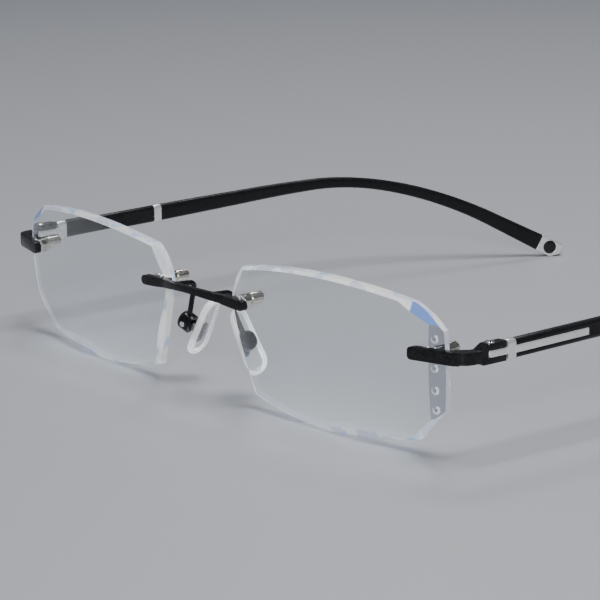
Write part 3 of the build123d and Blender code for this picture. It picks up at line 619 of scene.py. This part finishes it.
def makeStoneTree():
    tree, start, end = newGroup(
        "setStones", "GeometryNodeTree",
        [("Places", "NodeSocketGeometry", None), ("Stone", "NodeSocketObject", None),
         ("Size", "NodeSocketFloat", 1.0), ("Seed", "NodeSocketInt", 1),
         ("Crystal", "NodeSocketMaterial", None), ("Backing", "NodeSocketMaterial", None)],
        [("Stones", "NodeSocketGeometry")])
    info = addNode(tree, "GeometryNodeObjectInfo", -650, -150)
    facing = addNode(tree, "GeometryNodeInputNamedAttribute", -900, 300, data_type="FLOAT_VECTOR")
    facing.inputs["Name"].default_value = "facing"
    align = addNode(tree, "FunctionNodeAlignRotationToVector", -650, 300, axis="Z")
    turn = addNode(tree, "FunctionNodeRandomValue", -650, 100, data_type="FLOAT")
    turn.inputs[3].default_value = math.pi
    about = addNode(tree, "ShaderNodeCombineXYZ", -450, 100)
    spin = addNode(tree, "FunctionNodeEulerToRotation", -300, 100)
    rotate = addNode(tree, "FunctionNodeRotateRotation", -150, 250, rotation_space="LOCAL")
    instances = addNode(tree, "GeometryNodeInstanceOnPoints", 50, 100)
    real = addNode(tree, "GeometryNodeRealizeInstances", 220, 100)
    setCrystal = addNode(tree, "GeometryNodeSetMaterial", 380, 100)
    # the table and back faces take the gloss black: a painted dark reflection
    paintedDark = addNode(tree, "GeometryNodeInputNamedAttribute", 220, -200, data_type="BOOLEAN")
    paintedDark.inputs["Name"].default_value = "paintedDark"
    setBacking = addNode(tree, "GeometryNodeSetMaterial", 540, 100)
    link = tree.links.new
    link(start.outputs["Places"], instances.inputs["Points"])
    link(start.outputs["Stone"], info.inputs["Object"])
    link(info.outputs["Geometry"], instances.inputs["Instance"])
    link(facing.outputs["Attribute"], align.inputs["Vector"])
    link(start.outputs["Seed"], turn.inputs["Seed"])
    link(turn.outputs[1], about.inputs["Z"])
    link(about.outputs["Vector"], spin.inputs["Euler"])
    link(align.outputs["Rotation"], rotate.inputs["Rotation"])
    link(spin.outputs["Rotation"], rotate.inputs["Rotate By"])
    link(rotate.outputs["Rotation"], instances.inputs["Rotation"])
    link(start.outputs["Size"], instances.inputs["Scale"])
    link(instances.outputs["Instances"], real.inputs["Geometry"])
    link(real.outputs["Geometry"], setCrystal.inputs["Geometry"])
    link(start.outputs["Crystal"], setCrystal.inputs["Material"])
    link(setCrystal.outputs["Geometry"], setBacking.inputs["Geometry"])
    link(paintedDark.outputs["Attribute"], setBacking.inputs["Selection"])
    link(start.outputs["Backing"], setBacking.inputs["Material"])
    link(setBacking.outputs["Geometry"], end.inputs["Stones"])
    return tree


def useTree(obj, tree, **values):
    # fills in the tree's named inputs by their identifiers
    modifier = obj.modifiers.new(tree.name, "NODES")
    modifier.node_group = tree
    for item in tree.interface.items_tree:
        if item.item_type == "SOCKET" and item.in_out == "INPUT" and item.name in values:
            modifier[item.identifier] = values[item.name]
    return modifier


def flatPart(node):
    # middle of a stone's seat and the direction it faces, read from its own solid
    mesh = frame["nodes"][node].data
    _, normal, _ = lensFrame("left")
    best = max(mesh.polygons, key=lambda face: (round(face.normal.dot(normal), 4), face.area))
    axis = best.normal.copy()
    heights = [v.co.dot(axis) for v in mesh.vertices]
    low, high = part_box(node)
    middle = (low + high) / 2
    return middle, axis, min(heights)


def makeCrystals():
    names = [f"rhinestone_{number}" for number in range(1, 5)]
    points, facings = [], []
    for name in names:
        middle, axis, low = flatPart(name)
        seat = low + crystals["seat"] * mm     # the ground strip's surface
        points.append(middle + axis * (seat - middle.dot(axis)))
        facings.append(axis)
    mesh = bpy.data.meshes.new("crystalPlaces")
    mesh.from_pydata(points, [], [])
    layer = mesh.attributes.new("facing", "FLOAT_VECTOR", "POINT")
    layer.data.foreach_set("vector", [value for axis in facings for value in axis])
    places = addObject("crystalPlaces", mesh)
    gem = makeGem()
    useTree(places, makeStoneTree(), Stone=gem, Size=1.0, Seed=crystals["seed"],
            # gloss black on the stones' table and back is a painted dark reflection
            Crystal=clear["crystal"], Backing=solid["glossBlack"])
    stones = addObject("crystals", plainMesh(places))
    bpy.data.objects.remove(places)
    bpy.data.objects.remove(gem)
    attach(stones, "front")
    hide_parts(*names)


makeCrystals()
print("crystals set")


# temples and pad arms: one section swept along a path

def makeSweepTree():
    # every path point carries its side and up directions and half sizes; every section point
    # carries its corner and its place on the rounding
    tree, start, end = newGroup(
        "sweptSection", "GeometryNodeTree",
        [("Path", "NodeSocketGeometry", None), ("Section", "NodeSocketObject", None),
         ("Rounding", "NodeSocketFloat", 0.75 * mm), ("Finish", "NodeSocketMaterial", None)],
        [("Swept", "NodeSocketGeometry")])

    def attribute(name, y):
        node = addNode(tree, "GeometryNodeInputNamedAttribute", -500, y, data_type="FLOAT_VECTOR")
        node.inputs["Name"].default_value = name
        return node.outputs["Attribute"]

    def vectorMath(operation, x, y, a, b):
        node = addNode(tree, "ShaderNodeVectorMath", x, y, operation=operation)
        tree.links.new(a, node.inputs[0])
        tree.links.new(b, node.inputs["Scale"] if operation == "SCALE" else node.inputs[1])
        return node.outputs["Vector"]

    link = tree.links.new
    pathCurve = addNode(tree, "GeometryNodeMeshToCurve", -700, 200)
    position = addNode(tree, "GeometryNodeInputPosition", -700, 50)
    keep = addNode(tree, "GeometryNodeStoreNamedAttribute", -500, 200,
                   data_type="FLOAT_VECTOR", domain="POINT")
    keep.inputs["Name"].default_value = "center"
    info = addNode(tree, "GeometryNodeObjectInfo", -700, -100)
    sectionCurve = addNode(tree, "GeometryNodeMeshToCurve", -500, -100)
    sweep = addNode(tree, "GeometryNodeCurveToMesh", -300, 200)
    sweep.inputs["Fill Caps"].default_value = True
    link(start.outputs["Path"], pathCurve.inputs["Mesh"])
    link(pathCurve.outputs["Curve"], keep.inputs["Geometry"])
    link(position.outputs["Position"], keep.inputs["Value"])
    link(start.outputs["Section"], info.inputs["Object"])
    link(info.outputs["Geometry"], sectionCurve.inputs["Mesh"])
    link(keep.outputs["Geometry"], sweep.inputs["Curve"])
    link(sectionCurve.outputs["Curve"], sweep.inputs["Profile Curve"])
    even = addNode(tree, "ShaderNodeCombineXYZ", -500, -450)
    for axis in ("X", "Y", "Z"):
        link(start.outputs["Rounding"], even.inputs[axis])
    inner = vectorMath("SUBTRACT", -300, -300, attribute("half", -250), even.outputs["Vector"])
    toCorner = vectorMath("MULTIPLY", -150, -300, attribute("corner", -350), inner)
    onRounding = vectorMath("MULTIPLY", -150, -450, attribute("round", -600), even.outputs["Vector"])
    offset = vectorMath("ADD", 0, -350, toCorner, onRounding)
    parts = addNode(tree, "ShaderNodeSeparateXYZ", 120, -350)
    link(offset, parts.inputs["Vector"])
    sideways = vectorMath("SCALE", 250, -200, attribute("side", -750), parts.outputs["X"])
    upwards = vectorMath("SCALE", 250, -400, attribute("up", -900), parts.outputs["Y"])
    both = vectorMath("ADD", 380, -300, sideways, upwards)
    placed = vectorMath("ADD", 500, -200, both, attribute("center", -1050))
    move = addNode(tree, "GeometryNodeSetPosition", 350, 200)
    real = addNode(tree, "GeometryNodeRealizeInstances", 480, 200)
    finish = addNode(tree, "GeometryNodeSetMaterial", 600, 200)
    link(sweep.outputs["Mesh"], move.inputs["Geometry"])
    link(placed, move.inputs["Position"])
    link(move.outputs["Geometry"], real.inputs["Geometry"])
    link(real.outputs["Geometry"], finish.inputs["Geometry"])
    link(start.outputs["Finish"], finish.inputs["Material"])
    link(finish.outputs["Geometry"], end.inputs["Swept"])
    return tree


def setVectors(mesh, name, vectors):
    layer = mesh.attributes.new(name, "FLOAT_VECTOR", "POINT")
    layer.data.foreach_set("vector", [value for vector in vectors for value in vector])


def makeSection(steps):
    # four rounded corners, steps + 1 points on each
    corners, rounds = [], []
    for quarter in range(4):
        sign = ((1, 1), (-1, 1), (-1, -1), (1, -1))[quarter]
        for i in range(steps + 1):
            angle = math.pi / 2 * (quarter + i / steps)
            corners.append((*sign, 0))
            rounds.append((math.cos(angle), math.sin(angle), 0))
    count = len(corners)
    mesh = bpy.data.meshes.new("roundedSection")
    spots = [(c[0] + r[0], c[1] + r[1], 0) for c, r in zip(corners, rounds)]
    mesh.from_pydata(spots, [(i, (i + 1) % count) for i in range(count)], [])
    setVectors(mesh, "corner", corners)
    setVectors(mesh, "round", rounds)
    return addObject("roundedSection", mesh)


def sweepPiece(name, body, nodes, path, rounding, material, steps=5, sharp=40.0):
    # path: list of (center, side, up, half thickness, half height)
    mesh = bpy.data.meshes.new(f"{name}_path")
    mesh.from_pydata([p[0] for p in path], [(i, i + 1) for i in range(len(path) - 1)], [])
    setVectors(mesh, "side", [p[1] for p in path])
    setVectors(mesh, "up", [p[2] for p in path])
    setVectors(mesh, "half", [(p[3] * mm, p[4] * mm, 0) for p in path])
    rail = addObject(f"{name}_path", mesh)
    section = makeSection(steps)
    useTree(rail, sweepTree, Section=section, Rounding=rounding * mm, Finish=material)
    made = plainMesh(rail)
    bpy.data.objects.remove(rail)
    bpy.data.objects.remove(section)
    faceOutwards(made)
    smoothUpTo(made, sharp)
    markEdges(made, 60.0)
    piece = addObject(name, made)
    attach(piece, body)
    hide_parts(*nodes)
    return piece


sweepTree = makeSweepTree()

temple = {
    "front": 16.3, "x": 70.6, "z": 20.25,
    "planSlope": 0.012, "planEndSlope": -0.54, "planCorner": 101.9, "planRadius": 105.0,
    "sideSlope": 0.021, "sideEndSlope": -0.585, "sideRadius": 85.0,
    "sections": {44.1: (2.0, 3.75), 60.3: (2.0, 3.5), 75.49: (2.0, 3.1), 89.66: (2.0, 2.7),
                 103.84: (2.0, 2.5), 117.0: (2.05, 2.75), 130.16: (2.1, 3.15), 145.35: (2.2, 4.0)},
    "rounding": 0.75, "samples": 96,
}


def bent(depth, corner, startSlope, endSlope, radius):
    # two straight runs joined by an arc: the offset from their corner, and the slope there
    startAngle, endAngle = math.atan(startSlope), math.atan(endSlope)
    reach = radius * math.tan(abs(endAngle - startAngle) / 2)
    arcStart = corner - reach * math.cos(startAngle)
    if depth <= arcStart:
        return (depth - corner) * startSlope, startSlope
    if depth >= corner + reach * math.cos(endAngle):
        return (depth - corner) * endSlope, endSlope
    angle = math.asin(math.sin(startAngle) - (depth - arcStart) / radius)
    drop = radius * (math.cos(angle) - math.cos(startAngle))
    return (arcStart - corner) * startSlope + drop, math.tan(angle)


def sideCorner():
    # where the temple starts down, so that its tip reaches the table
    low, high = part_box("temple_end_left")
    lastDepth = max(temple["sections"])
    height = temple["sections"][lastDepth][1] * mm
    along = Vector((temple["planEndSlope"], 1, temple["sideEndSlope"])).normalized()
    across = Vector((1, -temple["planEndSlope"], 0)).normalized()
    upwards = across.cross(along)
    straight = height / 2 - temple["rounding"] * mm
    endZ = (low.z + straight * upwards.z + temple["rounding"] * mm * math.hypot(upwards.z, across.z)) / mm
    start = temple["z"] - temple["front"] * temple["sideSlope"]
    rise = endZ - start - lastDepth * temple["sideEndSlope"]
    return rise / (temple["sideSlope"] - temple["sideEndSlope"])


def smoothSize(depth, which):
    # section sizes between the given ones, through a cubic
    depths = list(temple["sections"])
    sizes = [temple["sections"][d][which] for d in depths]
    i = max(0, min(len(depths) - 2, sum(d <= depth for d in depths) - 1))
    span = depths[i + 1] - depths[i]
    t = (depth - depths[i]) / span

    def slope(k):
        if k == 0 or k == len(depths) - 1:
            a, b = (0, 1) if k == 0 else (k - 1, k)
        else:
            a, b = k - 1, k + 1
        return (sizes[b] - sizes[a]) / (depths[b] - depths[a])

    a, b = slope(i) * span, slope(i + 1) * span
    return ((2 * t**3 - 3 * t**2 + 1) * sizes[i] + (t**3 - 2 * t**2 + t) * a
            + (3 * t**2 - 2 * t**3) * sizes[i + 1] + (t**3 - t**2) * b)


def templePoint(depth, corner):
    x, xSlope = bent(depth, temple["planCorner"], temple["planSlope"], temple["planEndSlope"],
                     temple["planRadius"])
    z, zSlope = bent(depth, corner, temple["sideSlope"], temple["sideEndSlope"], temple["sideRadius"])
    cornerX = temple["x"] + (temple["planCorner"] - temple["front"]) * temple["planSlope"]
    cornerZ = temple["z"] + (corner - temple["front"]) * temple["sideSlope"]
    along = Vector((xSlope, 1, zSlope)).normalized()
    across = Vector((1, -xSlope, 0)).normalized()
    return place(cornerX + x, depth, cornerZ + z), across, across.cross(along)


def templePath(side):
    corner = sideCorner()
    depths = list(temple["sections"])
    first, last = depths[0], depths[-1]
    path = []
    for i in range(temple["samples"] + 1):
        depth = first + (last - first) * i / temple["samples"]
        center, across, upwards = templePoint(depth, corner)
        path.append((mirrored(center, side), mirrored(across, side), mirrored(upwards, side),
                     smoothSize(depth, 0) / 2, smoothSize(depth, 1) / 2))
    return path


def between(a, b, t):
    return a + (b - a) * t


def smoothStep(low, high, value):
    t = min(1.0, max(0.0, (value - low) / (high - low)))
    return t * t * (3 - 2 * t)


# nose pads: soft clear pads, domed towards the nose, hollowed round the metal core, with a painted white
# glowing rim

nosePad = {
    "center": (7.45, 7.65, 11.4), "up": (-0.505, -0.046, 0.862), "face": (-0.84, 0.258, -0.478),
    "lowerRadius": 3.05, "upperRadius": 2.5, "length": 14.2, "thickness": 1.6,
    "rim": 0.62,                         # rounded rim, from the outline inwards
    "dome": 0.16,                        # the rim stands back from the middle of the face
    "hollow": 0.3, "hollowFrom": (0.5, 0.78),
    "around": 72, "rings": 22, "crowding": 1.8,      # rings stand closer towards the outline
    # where towards the outline the painted white rim light begins and is full, and from what level a face
    # takes the glowing rim material
    "rimLightFrom": (0.72, 0.95), "rimLightLevel": 0.1,
    "smooth": 60.0,
}


def padSpots():
    # outline points in order: upper end, left flank, lower end, right flank
    low = nosePad["lowerRadius"] - nosePad["length"] / 2
    high = nosePad["length"] / 2 - nosePad["upperRadius"]
    lean = math.asin((nosePad["lowerRadius"] - nosePad["upperRadius"]) / (high - low))
    quarter = nosePad["around"] // 4
    top = math.pi / 2 + lean             # the flanks leave both circles at this angle
    spots = []
    for i in range(quarter):
        angle = between(top - math.pi, math.pi - top, i / quarter)
        spots.append((high, nosePad["upperRadius"], angle))
    for i in range(quarter):
        t = i / quarter
        radius = between(nosePad["upperRadius"], nosePad["lowerRadius"], t)
        spots.append((between(high, low, t), radius, math.pi - top))
    for i in range(quarter):
        angle = between(math.pi - top, math.pi + top, i / quarter)
        spots.append((low, nosePad["lowerRadius"], angle))
    for i in range(quarter):
        t = i / quarter
        radius = between(nosePad["lowerRadius"], nosePad["upperRadius"], t)
        spots.append((between(low, high, t), radius, top - math.pi))
    return spots


def makeNosePad(side):
    up = Vector(nosePad["up"]).normalized()
    face = Vector(nosePad["face"])
    face = (face - up * face.dot(up)).normalized()
    acrossPad = face.cross(up)
    center = place(*nosePad["center"])
    half = nosePad["thickness"] / 2
    rim = nosePad["rim"]
    spots = padSpots()
    bm = bmesh.new()

    def height(inward, fraction, facing):
        # half thickness at a distance inwards from the outline
        rounding = math.sqrt(max(0.0, rim**2 - max(0.0, rim - inward) ** 2))
        body = half - rim + rounding
        if facing > 0:
            return body - nosePad["dome"] * fraction**2
        dip = 1 - smoothStep(*nosePad["hollowFrom"], fraction)
        return body - nosePad["hollow"] * dip

    def ring(fraction, facing):
        made = []
        for spine, radius, angle in spots:
            reach = radius * fraction
            x = spine + reach * math.cos(angle)
            y = reach * math.sin(angle)
            z = facing * height(radius - reach, fraction, facing)
            spot = center + (up * x + acrossPad * y + face * z) * mm
            made.append(bm.verts.new(mirrored(spot, side)))
        return made

    fractions = [1 - (1 - i / nosePad["rings"]) ** nosePad["crowding"] for i in range(nosePad["rings"] + 1)]
    rows = [ring(f, 1) for f in fractions] + [ring(f, -1) for f in reversed(fractions)]
    for inner, outer in zip(rows, rows[1:]):
        for i in range(len(spots)):
            after = (i + 1) % len(spots)
            bm.faces.new((inner[i], inner[after], outer[after], outer[i]))
    bmesh.ops.remove_doubles(bm, verts=bm.verts, dist=0.01 * mm)
    bmesh.ops.dissolve_degenerate(bm, dist=mergeReach, edges=bm.edges)
    bmesh.ops.holes_fill(bm, edges=[e for e in bm.edges if e.is_boundary])
    bmesh.ops.recalc_face_normals(bm, faces=bm.faces)
    mesh = bpy.data.meshes.new(f"nose_pad_{side}")
    bm.to_mesh(mesh)
    bm.free()
    smoothUpTo(mesh, nosePad["smooth"])
    pad = addObject(f"nose_pad_{side}_piece", mesh)
    mesh.materials.append(clear["clearSilicone"])
    mesh.materials.append(clear["padRimPaintedLight"])
    # painted rim light: a mask rising towards the outline, which whitens and roughens the rim and gives its
    # faces the glowing white material
    rimLightMask = mesh.attributes.new("cut", "FLOAT", "POINT")
    values = []
    for vertex in mesh.vertices:
        spot = mirrored(vertex.co, side) - center
        x, y = spot.dot(up) / mm, spot.dot(acrossPad) / mm
        low = nosePad["lowerRadius"] - nosePad["length"] / 2
        high = nosePad["length"] / 2 - nosePad["upperRadius"]
        spine = min(high, max(low, x))
        radius = between(nosePad["lowerRadius"], nosePad["upperRadius"], (spine - low) / (high - low))
        values.append(smoothStep(*nosePad["rimLightFrom"], math.hypot(x - spine, y) / radius))
    rimLightMask.data.foreach_set("value", values)
    for face in mesh.polygons:
        if min(values[index] for index in face.vertices) > nosePad["rimLightLevel"]:
            face.material_index = 1
    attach(pad, f"pad_{side}")
    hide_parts(f"nose_pad_{side}")


for side in sides:
    makeNosePad(side)
print("nose pads made")


# pad arms: round wire from the bridge to each pad box

padArm = {"radius": 0.55, "root": (6.0, -0.9, 21.8), "elbow": (5.9, 4.1, 21.5), "bend": 1.6, "turns": 14,
          "footUp": 0.6}                 # the wire meets the box this far above its middle


def wirePath(corners, bend, turns):
    # straight runs with a rounded corner between them
    start, middle, end = [Vector(c) for c in corners]
    intoBend, outOfBend = (start - middle).normalized(), (end - middle).normalized()
    half = intoBend.angle(outOfBend) / 2
    reach = bend / math.tan(half)
    hub = middle + (intoBend + outOfBend).normalized() * (bend / math.sin(half))
    first = middle + intoBend * reach - hub
    axis = first.cross(middle + outOfBend * reach - hub).normalized()
    points = [start, start.lerp(middle + intoBend * reach, 0.5)]
    for i in range(turns + 1):
        turn = Matrix.Rotation((math.pi - 2 * half) * i / turns, 3, axis)
        points.append(hub + turn @ first)
    return points + [end.lerp(middle + outOfBend * reach, 0.5), end]


def padArmPath(side):
    boxLow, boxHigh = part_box("pad_box_left")
    foot = (boxLow + boxHigh) / 2
    foot = Vector((foot.x / mm, (foot.y - lensY) / mm, foot.z / mm))
    foot += Vector(nosePad["up"]) * padArm["footUp"]
    spots = wirePath((padArm["root"], padArm["elbow"], foot), padArm["bend"], padArm["turns"])
    path = []
    for i, spot in enumerate(spots):
        ahead = spots[min(i + 1, len(spots) - 1)] - spots[max(i - 1, 0)]
        across = Vector((1, 0, 0)) - ahead * (ahead.x / ahead.length_squared)
        across.normalize()
        upwards = across.cross(ahead.normalized())
        path.append((mirrored(place(*spot), side), mirrored(across, side), mirrored(upwards, side),
                     padArm["radius"], padArm["radius"]))
    return path


for side in sides:
    sweepPiece(f"pad_arm_{side}_piece", "front", [f"pad_arm_{side}"], padArmPath(side),
               padArm["radius"], solid["blackLacquer"])
print("pad arms bent")

for side in sides:
    sweepPiece(f"temple_end_{side}_piece", f"temple_{side}", [f"temple_end_{side}"],
               templePath(side), temple["rounding"], solid["blackTemple"])
print("temple ends swept")

# the other pieces keep their CAD shape, with softened edges
rounded = {
    "bridge": ("blackLacquer", 0.14), "end_piece": ("blackLacquer", 0.14), "pad_box": ("blackLacquer", 0.1),
    "nasal_nut": ("paleGold", 0.08), "temporal_nut": ("paleGold", 0.08),
    "nasal_cap_nut": ("paleGold", 0.05), "temporal_cap_nut": ("paleGold", 0.05),
    "nasal_washer": ("silverPlate", 0.05), "temporal_washer": ("silverPlate", 0.05),
    "hinge_screw": ("turnedSteel", 0.05), "pad_screw": ("turnedSteel", 0.05),
    "temple_cap": ("silverPlate", 0.08), "temple_bar": ("silverPlate", 0.06),
    "temple_ring": ("silverPlate", 0.08), "temple_tip": ("silverPlate", 0.08),
    "temple_front": ("blackTemple", 0.08), "tip_dot": ("glossBlack", 0.06),
}
for base, (finish, width) in rounded.items():
    for node in [n for n in frame["nodes"] if n == base or n in (f"{base}_left", f"{base}_right")]:
        softened(node, solid[finish], width)
print("metal pieces rounded")

kept = {"nasal_post": solid["paleGold"], "temporal_post": solid["paleGold"],
        "nasal_sleeve": clear["clearNylon"], "temporal_sleeve": clear["clearNylon"],
        "pad_core": solid["darkSteel"]}
for base, material in kept.items():
    for side in sides:
        frame["nodes"][f"{base}_{side}"].data.materials[0] = material


# table, light and camera

studio = {
    "table": (0.40, 0.41, 0.44, 1), "world": (0.70, 0.76, 0.86, 1), "worldStrength": 0.14,
    "lights": {                          # place, size, power, aimed at the glasses
        "overhead": ((0.15, 0.0, 0.9), 0.45, 8.0),
        "front": ((0.75, -0.75, 0.45), 0.25, 5.5),
        "back": ((-0.45, 0.45, 0.75), 0.25, 1.6),
    },
    "aim": (0.0, 0.0, 0.015), "tableReach": 2.5, "tableRoughness": 0.45,
    "camera": {"place": (0.3973, -307.734 * mm, 0.13741), "turn": 49.872, "down": 13.223, "roll": 0.083,
               "lens": 155.15, "sensor": 36.0, "clip": 0.01},
}


def makeTable():
    mesh = bpy.data.meshes.new("table")
    bm = bmesh.new()
    bmesh.ops.create_grid(bm, x_segments=2, y_segments=2, size=studio["tableReach"])
    bm.to_mesh(mesh)
    bm.free()
    table = addObject("table", mesh)
    material, tree, shader = startMaterial("paleTable")
    shader.inputs["Base Color"].default_value = studio["table"]
    shader.inputs["Roughness"].default_value = studio["tableRoughness"]
    mesh.materials.append(material)


def makeLights():
    for name, (spot, size, power) in studio["lights"].items():
        lamp = bpy.data.lights.new(name, "AREA")
        lamp.size = size
        lamp.energy = power
        obj = bpy.data.objects.new(name, lamp)
        obj.location = spot
        obj.rotation_euler = (Vector(studio["aim"]) - Vector(spot)).to_track_quat("-Z", "Y").to_euler()
        scene.collection.objects.link(obj)
    world = bpy.data.worlds.new("studioAir")
    world.use_nodes = True
    world.node_tree.nodes["Background"].inputs["Color"].default_value = studio["world"]
    world.node_tree.nodes["Background"].inputs["Strength"].default_value = studio["worldStrength"]
    scene.world = world


def makeCamera():
    look = studio["camera"]
    camera = bpy.data.objects.new("camera", bpy.data.cameras.new("camera"))
    camera.location = (look["place"][0], lensY + look["place"][1], look["place"][2])
    camera.rotation_euler = [math.radians(angle) for angle in (90 - look["down"], look["roll"], look["turn"])]
    camera.data.lens = look["lens"]
    camera.data.sensor_width = look["sensor"]
    camera.data.clip_start = look["clip"]
    scene.collection.objects.link(camera)
    scene.camera = camera


makeTable()
makeLights()
makeCamera()
print("table, light and camera set")
